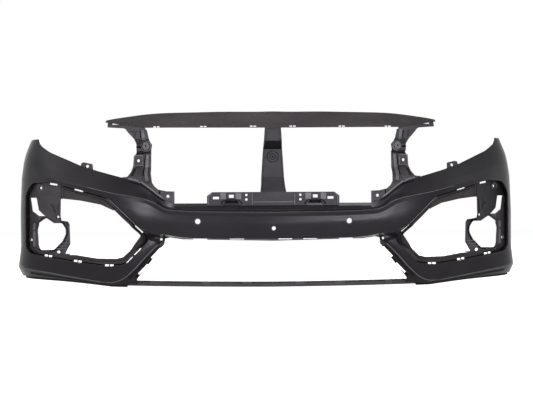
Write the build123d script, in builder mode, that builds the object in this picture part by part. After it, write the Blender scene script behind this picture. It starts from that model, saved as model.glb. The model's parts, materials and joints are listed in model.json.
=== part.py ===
"""Front bumper cover of a hatchback car, bare, as an assembly of its moulded pieces.

Frame: X across the car (the car's own left is +X), Y from the nose to the wheel arches, Z up. The origin
is midway between nose and rear edge, on the centre plane, at the level of the lowest edge. Millimetres.
"""

import os
from bisect import bisect_right
from math import cos, hypot, radians, sin

from build123d import *

# Overall sizes
DEPTH = 640.0  # nose to the rear edges of the wings
FRONT = -DEPTH / 2  # Y of the nose
HEADROOM = 720.0  # well above the highest edge
HALF_REACH = 1000.0  # well outside the widest point
BELOW = -60.0  # well under the lowest edge

# Walls
SKIN = 3.0  # painted skin
LAP = 3.0  # flanges and brackets that lie behind the skin
RECESS = 30.0  # depth of the fog apertures, from the skin's face to the liner's ledge
LEDGE = 3.0  # thickness of the liner's ledge
LINER_WALL = 3.0  # thickness of the liner's wall
LINER_FLANGE = 12.0  # reach of the liner's flange behind the skin
BEVEL = 14.0  # height of the light bevel under the belt crease
OVERLAP = 1.0  # how far two layers of one piece run into each other
INTO_LAP = 2.5  # how far behind the skin's back a deep layer starts, inside a lap

# The belt line seen from above: (distance from the centre plane, distance back from the nose)
BELT_PLAN = [
    (0, 0),
    (250, 12),
    (440, 36),
    (540, 78),
    (660, 178),
    (760, 290),
    (834, 390),
    (878, 470),
    (895, 556),
    (898, DEPTH),
]
# Distances along the belt line at which the skin's section is drawn
SECTION_PLACES = (
    0, 130, 240, 310, 345, 378, 410, 450, 500, 560, 630, 710, 800, 890, 980, 1050, 1110, 1160,
)

# The skin's feature lines. Heights are (distance from the centre plane, height), as seen from the front.
# Offsets are (distance from the centre plane, distance outwards from the belt line), minus is inwards.
HEM_HEIGHT = [(0, 328), (330, 336), (400, 378), (500, 405), (586, 425), (656, 445), (735, 480),
              (775, 500), (813, 524), (840, 534), (900, 534)]
HEM_OFFSET = [(0, -24), (330, -26), (400, -60), (500, -72), (632, -75), (740, -66), (820, -52),
              (870, -46), (900, -42)]
LEDGE_HEIGHT = [(0, 259), (330, 265), (378, 285), (400, 308), (430, 325), (478, 342), (545, 358),
                (627, 380), (712, 404), (784, 430), (833, 448), (900, 452)]
LEDGE_OFFSET = [(0, -23), (330, -23), (400, -31), (470, -35), (632, -36), (740, -30), (820, -19),
                (870, -11), (900, -9)]
CREASE_HEIGHT = [(0, 253), (200, 255), (300, 258), (340, 261), (360, 265), (378, 274), (400, 288),
                 (430, 299), (478, 308), (545, 320), (627, 340), (712, 358), (784, 377), (835, 383),
                 (900, 383)]
CREASE_OFFSET = [(0, -6), (330, -6), (480, -2), (800, -1), (870, 0), (900, 1)]
BEVEL_OFFSET = [(0, -1), (480, 0), (800, 0), (870, 1), (900, 2)]
BELLY_HEIGHT = [(0, 212), (420, 225), (500, 250), (900, 250)]
BELLY_OFFSET = [(0, 2), (420, 2), (500, 1), (820, 1), (870, 5), (900, 7)]
CHIN_HEIGHT = [(0, 164), (202, 166), (311, 172), (345, 178), (372, 182), (415, 184), (445, 205),
               (470, 212), (900, 212)]
CHIN_OFFSET = [(0, -14), (420, -14), (445, -10), (800, -4), (870, 4), (900, 7)]
POCKET_HEIGHT = [(0, 161), (311, 168), (345, 171), (372, 171), (415, 169), (445, 132), (900, 132)]
POCKET_OFFSET = [(0, -36), (300, -36), (345, -60), (380, -82), (560, -80), (640, -64), (700, -50),
                 (770, -27), (826, -9), (868, 4), (900, 7)]
PANEL_HEIGHT = [(0, 156), (345, 166), (372, 160), (445, 112), (500, 98), (900, 98)]
PANEL_OFFSET = [(0, -42), (300, -44), (345, -62), (380, -80), (560, -78), (640, -66), (700, -50),
                (770, -26), (826, -8), (868, 5), (900, 11)]
RIDGE_HEIGHT = [(0, 150), (345, 160), (365, 158), (385, 147), (427, 106), (462, 67), (495, 36),
                (519, 21), (545, 14), (580, 15), (624, 21), (698, 31), (773, 42), (849, 51), (900, 56)]
RIDGE_OFFSET = [(0, -46), (300, -48), (345, -64), (380, -74), (560, -74), (640, -60), (700, -44),
                (770, -18), (826, 1), (868, 11), (900, 16)]
LIP_HEIGHT = [(0, 138), (345, 142), (365, 138), (408, 86), (459, 20), (480, 4), (500, -2), (560, -2),
              (625, 5), (740, 12), (873, 17), (900, 20)]
LIP_OFFSET = [(0, -62), (300, -70), (345, -96), (380, -110), (470, -110), (500, -94), (560, -90),
              (640, -76), (700, -60), (770, -36), (826, -17), (868, -6), (900, -2)]
# Roundings of the section's corners: (distance from the centre plane, length cut off each side)
LEDGE_ROUND = [(0, 3), (330, 3), (420, 12), (500, 24), (900, 30)]
CREASE_ROUND = [(0, 3), (800, 3), (850, 8), (900, 9)]
RIDGE_ROUND = [(0, 3), (820, 3), (880, 9), (900, 9)]
BELLY_ROUND = 24.0
PANEL_ROUND = 10.0
MOST_ROUND = 0.45  # share of a run that one rounding may take

# Front-view outlines, each point (distance from the centre plane, height)
TOP_LINE = [(0, 284), (334, 284), (358, 294), (382, 306), (412, 330), (437, 349), (480, 362),
            (502, 370), (586, 393), (656, 415), (735, 449), (775, 466), (812, 491), (822, 516)]
APERTURE = [(869, 130), (869, 318), (842, 359), (768, 361), (560, 307), (422, 177), (422, 154),
            (502, 74), (574, 69), (686, 81), (795, 96.5), (852, 107)]
APERTURE_ROUNDS = [22, 40, 26, 60, 8, 10, 8, 22, 40, 200, 200, 18]
LOWER_GRILLE = [(0, 158), (302, 164), (345, 170), (362, 166), (366, 146), (459, 28), (459, BELOW),
                (0, BELOW)]
FOG_OPENING = [(880, 132), (880, 380), (731, 380), (731, 303), (655, 295), (581, 281), (536, 261),
               (527, 265), (489, 221), (448, 182), (446, 174), (485, 123), (509, 101), (533, 95),
               (602, 95), (674, 105), (713, 106), (800, 118), (850, 124)]
SKIN_FOOT = [(0, 8), (480, 12), (500, 8), (560, 8), (625, 14), (740, 21), (873, 26), (950, 26),
             (950, BELOW), (0, BELOW)]
STRIP = [(492, BELOW), (492, 24), (560, 22), (625, 28), (740, 34), (868, 38), (874, 20), (874, BELOW)]
TOP_BEAM_FOOT = [(0, 535), (424, 538), (455, 544), (517, 552), (600, 567), (600, 480), (0, 480)]
STAY_ARM = [(428, 553), (425, 529), (486, 529), (500, 538), (557, 543), (557, 559), (517, 566), (455, 560)]
SIDE_STAY = [(425, 548), (413, 495), (405, 482), (409, 459), (410, 385), (405, 356), (412, 340),
             (440, 320), (506, 340), (506, 372), (490, 376), (479, 391), (472, 413), (470, 443),
             (459, 459), (459, 486), (465, 501), (494, 533), (506, 548)]
STAY_FOOT = [(506, 374), (506, 352), (474, 338), (437, 326), (412, 308), (382, 286), (350, 276),
             (329, 272), (329, 324), (356, 325), (384, 331), (397, 342), (406, 356), (409, 376)]
CENTRE_STAY = [(27, 552), (27, 538), (30, 494), (35, 427), (40, 344), (43, 322), (43, 300)]
STAY_BASE = [(221, 276), (221, 308), (204, 321)]
BASE_ARCH = [(107, 270), (121, 293), (158, 293), (171, 270)]
STAY_SHOULDER = [(424, 527), (424, 533), (488, 533), (484, 527)]
HEADLAMP_TAB = [(663, 392), (655, 426), (646, 428), (614, 421), (607, 376)]
FOG_PLATE = [(880, 306), (880, 380), (729.5, 380), (729.5, 300), (731, 240), (727, 226), (738, 219),
             (752, 221), (790, 240), (797, 243), (820, 262), (829, 306)]
FOG_RING = [(812, 104), (813, 112), (850, 118), (880, 126), (880, 306), (853, 306), (845, 258),
            (817, 241), (800, 241), (738, 224), (717, 221), (711, 211), (709, 140), (719, 121),
            (728, 104)]
LAMP_HOLE = [(794, 234), (766, 215), (738, 215), (725, 194), (725, 175), (738, 149), (767, 121),
             (811, 120), (823, 135), (824, 162), (827, 191), (818, 217)]
CROSSBAR_PAD = [(464, 6), (464, 26), (490, 26), (490, 6)]
# Corner radii of the front-view outlines
FOG_ROUND = 2.0
LAMP_HOLE_ROUND = 5.0
TAB_ROUND = 4.0
BASE_ROUND = 2.0
ARCH_ROUND = 3.0
RING_SHELF = (708, 812)  # the fog ring's lower shelf, from side to side
SHELF_LEVEL = 104.0
SHELF_REACH = 160.0  # more than the gap between the liner's ledge and the ring

# Holes and slots seen from the front
CLIP_SLOT = 6.0  # width of the liners' clip slots
LINER_SLOTS = [(661, 331, 14, 32), (538, 283, 43, 44), (449, 199, 46, 34),
               (456, 119, -44, 32), (484, 91, -44, 30), (776, 99, 4, 12), (792, 101, 4, 12),
               (664, 83, 4, 12), (680, 85, 4, 12), (549, 72, 0, 13), (566, 72, 0, 13)]
PLATE_SLOT = (758, 353, 9, 30)
FACET_SLOTS = [(393, 116, -46, 46), (438, 61, -46, 44)]
SENSOR_PLACE = (252, 224)
SENSOR_HOLE = 12.5  # radius of the opening in the skin
SENSOR_BORE = 8.5  # radius of the seat's bore
SENSOR_SEAT = 19.0
CENTRE_HOLE_HEIGHT = 200.0
CENTRE_HOLE = 9.0
CENTRE_BORE = 6.5
CENTRE_SEAT = 15.0
POCKET_HOLE = (375, 163, 4)
GRILLE_TAB_HOLE = (351, 308, 5)
PAD_HOLE = (453, 430, 5)
HEADLAMP_TAB_HOLE = (632, 413.5, 5)
PLATE_HOLES = [(809, 341, 4.5), (740, 239, 4)]
RING_HOLES = [(849, 155, 4), (750, 112, 5)]
NOTCHES = (66, 232, 389)  # centres of the beam's paired notches
NOTCH = 9.0
NOTCH_GAP = 3.0
NOTCH_HEIGHT = 4.0
NOTCH_LEVEL = 540.5
END_SLOT = (529, 554, 0, 22)
FACE_SLOTS = (39, 122, 244)  # centres of the slots under the face
FACE_SLOT = 47.0
FACE_SLOT_LEVEL = 164.5
BADGE_HEIGHT = 440.0
BADGE = 20.0
BADGE_RISE = 2.0
BASE_HOLES = [(90, 311), (90, 296)]
BASE_HOLE = 4.0
BASE_SLOTS = [(191, 301.5, 0, 20), (-191, 301.5, 0, 20)]
BASE_SLOT = 8.0
BASE_WINDOWS = [(140, 307, 0, 16), (-140, 307, 0, 16)]
BASE_WINDOW = 10.0

# Weld studs: each lap has its own row of them, (distance from the centre plane, height)
STUD = 2.5  # radius of the shank
STUD_HEAD = 4.0  # radius of the head
HEAD_RISE = 2.0
LINER_STUDS = [(775, 367.2), (661.6, 339.9), (486, 247.4), (456, 110.5), (631, 67.6), (701, 75.6)]
STRIP_STUDS = [(520, 16), (610, 19), (700, 25), (800, 30)]
TAB_STUDS = [(622, 390), (648, 400)]
FOOT_STUDS = [(380, 301), (474, 352)]
ARM_STUDS = [(440, 549), (490, 556)]
TOP_STUDS = [(15, 545)]

# The upper bar and what hangs from it
BEAM_WALL = 2.5
BEAM_PLAN = [(0, 35), (240, 50), (390, 68), (470, 96), (530, 128), (570, 154)]
BEAM_PLACES = (0, 120, 240, 340, 420, 480, 530)
BEAM_TOP = [(0, 592), (213, 591), (391, 588), (457, 583), (513, 577), (545, 572), (570, 568)]
BEAM_LOW = [(0, 535), (424, 538), (455, 540), (517, 543), (570, 548)]
BEAM_LEAN = 0.7  # the face leans back this much for each unit of its height
BEAM_END = (0.8, 0.5)  # the way its end points, seen from above
BEAM_TOP_ROUND = 4.0
BEAM_LOW_ROUND = 3.0
BEAM_FLANGE = 26.0
FLANGE_RISE = 1.0  # from the flange's front edge to its rear edge
BEAM_SKIRT = 34.0  # how far the section runs on below the face, for the stays' arms
SHEET = 3.0  # thickness of the stays
CENTRE_PATH = [(38.5, 507), (39.5, 493), (72, 465), (72, 371), (22, 318), (22, 306)]
SIDE_PATH = [(-6, 531), (-7, 502), (-40, 484), (-42, 463), (-70, 456), (-70, 406), (-3, 356)]
SHOULDER_REACH = 16.0  # from the bar's face back through the side stay's top
SIDE_STAY_PLACE = (440, 86)  # distance from the centre plane, back from the nose
SIDE_STAY_TURN = 22.0  # degrees that the side stays face outwards

# The lower bar
BAR_PLAN = [(0, 80), (200, 88), (330, 112), (430, 148), (500, 180)]
BAR_PLACES = (0, 120, 240, 340, 420)
BAR_HEIGHT = [(0, 2), (459, 4), (500, 4)]
BAR_END = (0.9, 0.45)  # the way its end points, seen from above
BAR_RISE = 18.0
BAR_ROUND = 1.5
BAR_TOP_FLANGE = 14.0
BAR_LOW_FLANGE = 22.0
BAR_WALL = 2.5
PAD_REACH = 34.0  # from the skin's face back into the lower bar's end

# Fog plate and ring, seen from above
PLATE_PATH = [(725, 283), (880, 500)]
RING_LINE = 418.0
RING_PATH = [(700, RING_LINE), (821.4, RING_LINE), (880, 500)]
LINER_END = 500.0  # the liner's wall stops this far back from the nose

# Wheel arch and rear edge, seen from the side
ARCH_CENTRE = (890.0, 153.0)  # back from the nose, height
ARCH_RADIUS = 365.0
TIP_BACK = 575.0  # the wing tip's rear end, back from the nose
SHOULDER_HEIGHT = 446.0  # where the wing's rear edge turns down


def along(line, x):
    """The value of a feature line at distance x from the centre plane, smooth between its points.

    Between two points it is a cubic whose slopes never overshoot them.
    """
    places = [point[0] for point in line]
    if x <= places[0]:
        return line[0][1]
    if x >= places[-1]:
        return line[-1][1]
    slopes = [(b[1] - a[1]) / (b[0] - a[0]) for a, b in zip(line, line[1:])]
    tangents = [slopes[0]]
    for before, after in zip(slopes, slopes[1:]):
        tangents.append(0 if before * after <= 0 else 2 * before * after / (before + after))
    tangents.append(slopes[-1])
    i = bisect_right(places, x) - 1
    step = places[i + 1] - places[i]
    t = (x - places[i]) / step
    rise = line[i + 1][1] - line[i][1]
    ease = t * t * (3 - 2 * t)
    lead = t * (1 - t) * (1 - t) * step * tangents[i]
    tail = t * t * (t - 1) * step * tangents[i + 1]
    return line[i][1] + rise * ease + lead + tail


def plan_spline(points):
    """A plan line from the centre plane outwards, square to that plane."""
    return Spline(*[(x, FRONT + y) for x, y in points], tangents=((1, 0), (0, 1)))


class Place:
    """One section plane, square to a plan line: local x is outwards, local y is up."""

    def __init__(self, plan, distance, side):
        point = plan.position_at(distance, position_mode=PositionMode.LENGTH)
        run = plan.tangent_at(distance, position_mode=PositionMode.LENGTH)
        self.x = point.X
        self.lean = run.Y
        self.plane = Plane(
            origin=(side * point.X, point.Y, 0),
            x_dir=(side * run.Y, -run.X, 0),
            z_dir=(-run.X, -side * run.Y, 0),
        )

    def corner(self, offset_line, height_line, rounding):
        """A corner of the section: offset, height and the length its rounding cuts off each side."""
        offset = along(offset_line, self.x)
        return offset, along(height_line, self.x + offset * self.lean), rounding


def skin_corners(place):
    """The outer face of the skin at one place, from the top edge to the bottom edge."""
    x = place.x
    crease = place.corner(CREASE_OFFSET, CREASE_HEIGHT, along(CREASE_ROUND, x))
    return [
        place.corner(HEM_OFFSET, HEM_HEIGHT, 0),
        place.corner(LEDGE_OFFSET, LEDGE_HEIGHT, along(LEDGE_ROUND, x)),
        crease,
        (along(BEVEL_OFFSET, x), crease[1] - BEVEL, 0),
        place.corner(BELLY_OFFSET, BELLY_HEIGHT, BELLY_ROUND),
        place.corner(CHIN_OFFSET, CHIN_HEIGHT, 0),
        place.corner(POCKET_OFFSET, POCKET_HEIGHT, 0),
        place.corner(PANEL_OFFSET, PANEL_HEIGHT, PANEL_ROUND),
        place.corner(RIDGE_OFFSET, RIDGE_HEIGHT, along(RIDGE_ROUND, x)),
        place.corner(LIP_OFFSET, LIP_HEIGHT, 0),
    ]


def shifted(corners, distance):
    """A section line moved outwards by a distance, its corners mitred."""
    moved = []
    for i, (x, z, rounding) in enumerate(corners):
        before = corners[max(i - 1, 0)]
        after = corners[min(i + 1, len(corners) - 1)]
        normals = []
        for start, end in ((before, corners[i]), (corners[i], after)):
            run = hypot(end[0] - start[0], end[1] - start[1])
            if run > 0:
                normals.append(((start[1] - end[1]) / run, (end[0] - start[0]) / run))
        nx = sum(normal[0] for normal in normals)
        nz = sum(normal[1] for normal in normals)
        size = (nx * nx + nz * nz) / len(normals)
        moved.append((x + distance * nx / size, z + distance * nz / size, rounding))
    return moved


def pushed(corners, distance):
    """A section line moved level and outwards by a distance."""
    return [(x + distance, z, rounding) for x, z, rounding in corners]


def draw_side(corners):
    """Draws a section line in the current sketch: straight runs and rounded corners."""
    last = (corners[0][0], corners[0][1])
    for i in range(1, len(corners)):
        x, z, rounding = corners[i]
        if rounding == 0:
            Line(last, (x, z))
            last = (x, z)
            continue
        ends = []
        for other in (corners[i - 1], corners[i + 1]):
            run = hypot(other[0] - x, other[1] - z)
            share = min(rounding / run, MOST_ROUND)
            ends.append((x + (other[0] - x) * share, z + (other[1] - z) * share))
        Line(last, ends[0])
        Bezier(ends[0], (x, z), ends[1])
        last = ends[1]


def band(places, corners_at, inner, outer, shift):
    """A wall of a sectioned piece, between two distances measured outwards from its outer face."""
    with BuildPart() as wall:
        for place in places:
            corners = corners_at(place)
            outside = shift(corners, outer)
            inside = shift(corners, inner)
            with BuildSketch(place.plane):
                with BuildLine():
                    draw_side(outside)
                    Line(outside[-1][:2], inside[-1][:2])
                    draw_side(inside)
                    Line(outside[0][:2], inside[0][:2])
                make_face()
        loft()
    return wall.part


def places_along(plan, distances):
    """Section planes along a plan line, from its right-hand end to its left-hand end."""
    right = [Place(plan, distance, -1) for distance in reversed(distances)]
    return right + [Place(plan, distance, 1) for distance in distances[1:]]


def front_block(points, rounds=0.0, grow=0.0):
    """A front-view outline as a block that runs right through, from front to rear."""
    with BuildPart() as block:
        with BuildSketch(Plane.XZ):
            with BuildLine():
                FilletPolyline(*points, radius=rounds, close=True)
            make_face()
            if grow:
                offset(amount=grow)
        extrude(amount=DEPTH, both=True)
    return block.part


def side_block(points):
    """A side-view outline, each point (back from the nose, height), as a block right across."""
    with BuildPart() as block:
        with BuildSketch(Plane.YZ):
            with BuildLine():
                Polyline(*[(FRONT + y, z) for y, z in points], close=True)
            make_face()
        extrude(amount=HALF_REACH, both=True)
    return block.part


def round_block(centres, radius):
    """Round front-view outlines as blocks that run right through."""
    with BuildPart() as block:
        with BuildSketch(Plane.XZ):
            with Locations(*centres):
                Circle(radius)
        extrude(amount=DEPTH, both=True)
    return block.part


def slot_block(slots, width):
    """Front-view slots, each (distance from the centre plane, height, angle, length), as blocks."""
    with BuildPart() as block:
        with BuildSketch(Plane.XZ):
            for x, z, angle, length in slots:
                with Locations(Location((x, z), angle)):
                    Rectangle(length, width)
        extrude(amount=DEPTH, both=True)
    return block.part


def other_side(piece):
    """The same piece on the other side of the centre plane."""
    return mirror(piece, about=Plane.YZ)


def save(node, name):
    """Labels a finished piece and writes its file."""
    node.part.label = name
    export_step(node.part, f"parts/{name}.step")


belt = plan_spline(BELT_PLAN)
belt_places = places_along(belt, (*SECTION_PLACES, belt.length))


def skin_band(inner, outer):
    """A layer of the skin's own shape, measured square to its face."""
    return band(belt_places, skin_corners, inner, outer, shifted)


def deep_band(inner, outer):
    """A layer of the skin's shape measured level and outwards, as the aperture liners follow it."""
    return band(belt_places, skin_corners, inner, outer, pushed)


os.makedirs("parts", exist_ok=True)

# Lines shared by several pieces
top_line = [*TOP_LINE, (HALF_REACH, TOP_LINE[-1][1]), (HALF_REACH, HEADROOM), (0, HEADROOM)]
above_top = front_block(top_line)
rear_line = [
    (TIP_BACK, HEADROOM),
    (TIP_BACK, TOP_LINE[-1][1]),
    (DEPTH, SHOULDER_HEIGHT),
    (2 * DEPTH, SHOULDER_HEIGHT),
    (2 * DEPTH, HEADROOM),
]
behind_tip = side_block(rear_line)
with BuildPart() as arch_block:
    with BuildSketch(Plane.YZ):
        with Locations((FRONT + ARCH_CENTRE[0], ARCH_CENTRE[1])):
            Circle(ARCH_RADIUS)
    extrude(amount=HALF_REACH, both=True)
aperture = front_block(APERTURE, APERTURE_ROUNDS)
lower_grille = front_block(LOWER_GRILLE)
below_skin = front_block(SKIN_FOOT)

sensor_x, sensor_z = SENSOR_PLACE
face_holes = [
    round_block([(sensor_x, sensor_z), (-sensor_x, sensor_z)], SENSOR_HOLE),
    round_block([(0, CENTRE_HOLE_HEIGHT)], CENTRE_HOLE),
    slot_block(FACET_SLOTS, CLIP_SLOT),
    slot_block([(-x, z, -angle, length) for x, z, angle, length in FACET_SLOTS], CLIP_SLOT),
    slot_block([(x, FACE_SLOT_LEVEL, 0, FACE_SLOT) for x in FACE_SLOTS], SKIN),
    slot_block([(-x, FACE_SLOT_LEVEL, 0, FACE_SLOT) for x in FACE_SLOTS[1:]], SKIN),
    round_block([POCKET_HOLE[:2], (-POCKET_HOLE[0], POCKET_HOLE[1])], POCKET_HOLE[2]),
]

skin = skin_band(-SKIN, 0)
behind_skin = skin_band(-SKIN - LAP, -SKIN)

# The painted skin
with BuildPart() as face_moulding:
    add(skin)
    for cut in (above_top, aperture, lower_grille, below_skin):
        add(cut, mode=Mode.SUBTRACT)
        add(other_side(cut), mode=Mode.SUBTRACT)
    add(behind_tip, mode=Mode.SUBTRACT)
    add(arch_block.part, mode=Mode.SUBTRACT)
    for cut in face_holes:
        add(cut, mode=Mode.SUBTRACT)
save(face_moulding, "face_moulding")


def trimmed(body, keep, *cuts):
    """The part of a body inside one block and outside the others."""
    with BuildPart() as piece:
        add(body)
        add(keep, mode=Mode.INTERSECT)
        for cut in cuts:
            add(cut, mode=Mode.SUBTRACT)
    return piece.part


def sheet_outline(points, thickness):
    """A bent sheet's edge: its front line, and back along its rear line."""
    rear = shifted([(*point, 0) for point in points], thickness)
    return [*points, *[(x, z) for x, z, rounding in reversed(rear)]]


def plan_sheet(points, thickness):
    """An upright bent sheet, its front face drawn from above as (distance out, back from the nose)."""
    with BuildPart() as sheet:
        with BuildSketch(Plane.XY):
            with BuildLine():
                Polyline(*sheet_outline([(x, FRONT + y) for x, y in points], thickness), close=True)
            make_face()
        extrude(amount=HEADROOM)
    return sheet.part


def path_sheet(plane, points, thickness):
    """A bent sheet that runs across, its front face drawn from the side."""
    with BuildPart() as sheet:
        with BuildSketch(plane):
            with BuildLine():
                Polyline(*sheet_outline(points, thickness), close=True)
            make_face()
        extrude(amount=HALF_REACH, both=True)
    return sheet.part


def level_block(low, high):
    """Everything between two heights."""
    with BuildPart() as block:
        with BuildSketch(Plane.XY.offset(low)):
            Rectangle(2 * HALF_REACH, 2 * HALF_REACH)
        extrude(amount=high - low)
    return block.part


def both_ways(points):
    """A half outline, from the top or outside inwards, made whole about the centre plane."""
    return [*points, *[(-x, z) for x, z in reversed(points)]]


def studs(places, shank_layer, head_layer):
    """Studs at front-view places: a shank through a lap and into the head, and the head behind the lap."""
    with BuildPart() as group:
        add(trimmed(shank_layer, round_block(places, STUD)))
        add(trimmed(head_layer, round_block(places, STUD_HEAD)))
    return group.part


shanks = skin_band(-SKIN - LAP - HEAD_RISE / 2, -SKIN)
heads = skin_band(-SKIN - LAP - HEAD_RISE, -SKIN - LAP)

# Sensor seats behind the face
sensor_place = [SENSOR_PLACE]
with BuildPart() as left_sensor_seat:
    add(trimmed(behind_skin, round_block(sensor_place, SENSOR_SEAT), round_block(sensor_place, SENSOR_BORE)))
save(left_sensor_seat, "left_sensor_seat")
with BuildPart() as right_sensor_seat:
    add(other_side(left_sensor_seat.part))
save(right_sensor_seat, "right_sensor_seat")
centre_place = [(0, CENTRE_HOLE_HEIGHT)]
with BuildPart() as centre_seat:
    add(trimmed(behind_skin, round_block(centre_place, CENTRE_SEAT), round_block(centre_place, CENTRE_BORE)))
save(centre_seat, "centre_seat")

# Headlamp tabs
with BuildPart() as left_headlamp_tab:
    add(trimmed(behind_skin, front_block(HEADLAMP_TAB, TAB_ROUND)))
    add(round_block([HEADLAMP_TAB_HOLE[:2]], HEADLAMP_TAB_HOLE[2]), mode=Mode.SUBTRACT)
    add(round_block(TAB_STUDS, STUD), mode=Mode.SUBTRACT)
save(left_headlamp_tab, "left_headlamp_tab")
with BuildPart() as right_headlamp_tab:
    add(other_side(left_headlamp_tab.part))
save(right_headlamp_tab, "right_headlamp_tab")

# Dark strips under the lips
with BuildPart() as left_lower_strip:
    add(trimmed(behind_skin, front_block(STRIP), arch_block.part))
    add(level_block(0, HEADROOM), mode=Mode.INTERSECT)
    add(round_block(STRIP_STUDS, STUD), mode=Mode.SUBTRACT)
save(left_lower_strip, "left_lower_strip")
with BuildPart() as right_lower_strip:
    add(other_side(left_lower_strip.part))
save(right_lower_strip, "right_lower_strip")

# Fog aperture liners
end_line = [(LINER_END, BELOW), (LINER_END, HEADROOM), (2 * DEPTH, HEADROOM), (2 * DEPTH, BELOW)]
liner_end = side_block(end_line)
wall_block = front_block(APERTURE, APERTURE_ROUNDS, LINER_WALL)
fog_opening = front_block(FOG_OPENING, FOG_ROUND)
with BuildPart() as left_fog_liner:
    add(trimmed(behind_skin, front_block(APERTURE, APERTURE_ROUNDS, LINER_FLANGE), aperture))
    add(trimmed(deep_band(-RECESS - OVERLAP, -SKIN - INTO_LAP), wall_block, aperture))
    add(trimmed(deep_band(-RECESS - LEDGE, -RECESS), wall_block, fog_opening))
    add(liner_end, mode=Mode.SUBTRACT)
    add(slot_block(LINER_SLOTS, CLIP_SLOT), mode=Mode.SUBTRACT)
    add(round_block(LINER_STUDS, STUD), mode=Mode.SUBTRACT)
save(left_fog_liner, "left_fog_liner")
with BuildPart() as right_fog_liner:
    add(other_side(left_fog_liner.part))
save(right_fog_liner, "right_fog_liner")

# Fog plates
with BuildPart() as left_fog_plate:
    add(trimmed(plan_sheet(PLATE_PATH, SHEET), front_block(FOG_PLATE, FOG_ROUND)))
    add(aperture, mode=Mode.INTERSECT)
    for x, z, radius in PLATE_HOLES:
        add(round_block([(x, z)], radius), mode=Mode.SUBTRACT)
    add(slot_block([PLATE_SLOT], CLIP_SLOT), mode=Mode.SUBTRACT)
save(left_fog_plate, "left_fog_plate")
with BuildPart() as right_fog_plate:
    add(other_side(left_fog_plate.part))
save(right_fog_plate, "right_fog_plate")

# Fog rings, each with a shelf that runs forward to the liner's ledge
shelf_inner, shelf_outer = RING_SHELF
with BuildPart() as shelf_block:
    with BuildSketch(Plane.XY.offset(SHELF_LEVEL)):
        with BuildLine():
            Polyline(
                (shelf_inner, FRONT),
                (shelf_outer, FRONT),
                (shelf_outer, FRONT + RING_LINE + SHEET),
                (shelf_inner, FRONT + RING_LINE + SHEET),
                close=True,
            )
        make_face()
    extrude(amount=SHEET)
ring_block = front_block(FOG_RING, FOG_ROUND)
lamp_block = front_block(LAMP_HOLE, LAMP_HOLE_ROUND)
with BuildPart() as left_fog_ring:
    add(trimmed(plan_sheet(RING_PATH, SHEET), ring_block, lamp_block))
    add(trimmed(deep_band(-SHELF_REACH, -RECESS - LEDGE), shelf_block.part))
    add(aperture, mode=Mode.INTERSECT)
    for x, z, radius in RING_HOLES:
        add(round_block([(x, z)], radius), mode=Mode.SUBTRACT)
save(left_fog_ring, "left_fog_ring")
with BuildPart() as right_fog_ring:
    add(other_side(left_fog_ring.part))
save(right_fog_ring, "right_fog_ring")

# The upper bar
beam_line = Spline(*[(x, FRONT + y) for x, y in BEAM_PLAN], tangents=((1, 0), BEAM_END))
beam_places = places_along(beam_line, (*BEAM_PLACES, beam_line.length))


def beam_corners(place):
    """The upper bar's outer face at one place, from the back of its flange to below its lower edge."""
    low = along(BEAM_LOW, place.x)
    high = along(BEAM_TOP, place.x)
    lean = BEAM_LEAN * (high - low)
    return [
        (-lean - BEAM_FLANGE, high + FLANGE_RISE, 0),
        (-lean, high, BEAM_TOP_ROUND),
        (0, low, BEAM_LOW_ROUND),
        (0, low - BEAM_SKIRT, 0),
    ]


def beam_band(inner, outer):
    """A layer of the upper bar's shape."""
    return band(beam_places, beam_corners, inner, outer, shifted)


behind_beam = beam_band(-BEAM_WALL - SHEET, -BEAM_WALL)
beam_shanks = beam_band(-BEAM_WALL - SHEET - HEAD_RISE / 2, -BEAM_WALL)
beam_heads = beam_band(-BEAM_WALL - SHEET - HEAD_RISE, -BEAM_WALL - SHEET)
beam_foot = front_block(TOP_BEAM_FOOT)
notch_slots = []
for x in NOTCHES:
    for side in (-1, 1):
        for shift in (-1, 1):
            notch_slots.append((side * x + shift * (NOTCH + NOTCH_GAP) / 2, NOTCH_LEVEL, 0, NOTCH))
with BuildPart() as top_beam:
    add(beam_band(-BEAM_WALL, 0))
    add(beam_foot, mode=Mode.SUBTRACT)
    add(other_side(beam_foot), mode=Mode.SUBTRACT)
    add(slot_block(notch_slots, NOTCH_HEIGHT), mode=Mode.SUBTRACT)
save(top_beam, "top_beam")

# The centre stay with its base plate
stay_block = front_block(both_ways(CENTRE_STAY))
base_block = front_block(both_ways(STAY_BASE), BASE_ROUND)
with BuildPart() as centre_stay:
    add(trimmed(path_sheet(Plane.YZ, [(FRONT + y, z) for y, z in CENTRE_PATH], SHEET), stay_block))
    add(trimmed(behind_beam, stay_block))
    add(trimmed(skin_band(0, SHEET), base_block))
    with BuildSketch(Plane.XZ.offset(-FRONT - CENTRE_PATH[2][0])):
        with Locations((0, BADGE_HEIGHT)):
            Circle(BADGE)
    extrude(amount=BADGE_RISE)
    add(round_block(both_ways(BASE_HOLES), BASE_HOLE), mode=Mode.SUBTRACT)
    add(slot_block(BASE_SLOTS, BASE_SLOT), mode=Mode.SUBTRACT)
    add(slot_block(BASE_WINDOWS, BASE_WINDOW), mode=Mode.SUBTRACT)
    add(round_block(both_ways(TOP_STUDS), STUD), mode=Mode.SUBTRACT)
    arch_cut = front_block(BASE_ARCH, ARCH_ROUND)
    add(arch_cut, mode=Mode.SUBTRACT)
    add(other_side(arch_cut), mode=Mode.SUBTRACT)
save(centre_stay, "centre_stay")

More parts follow.
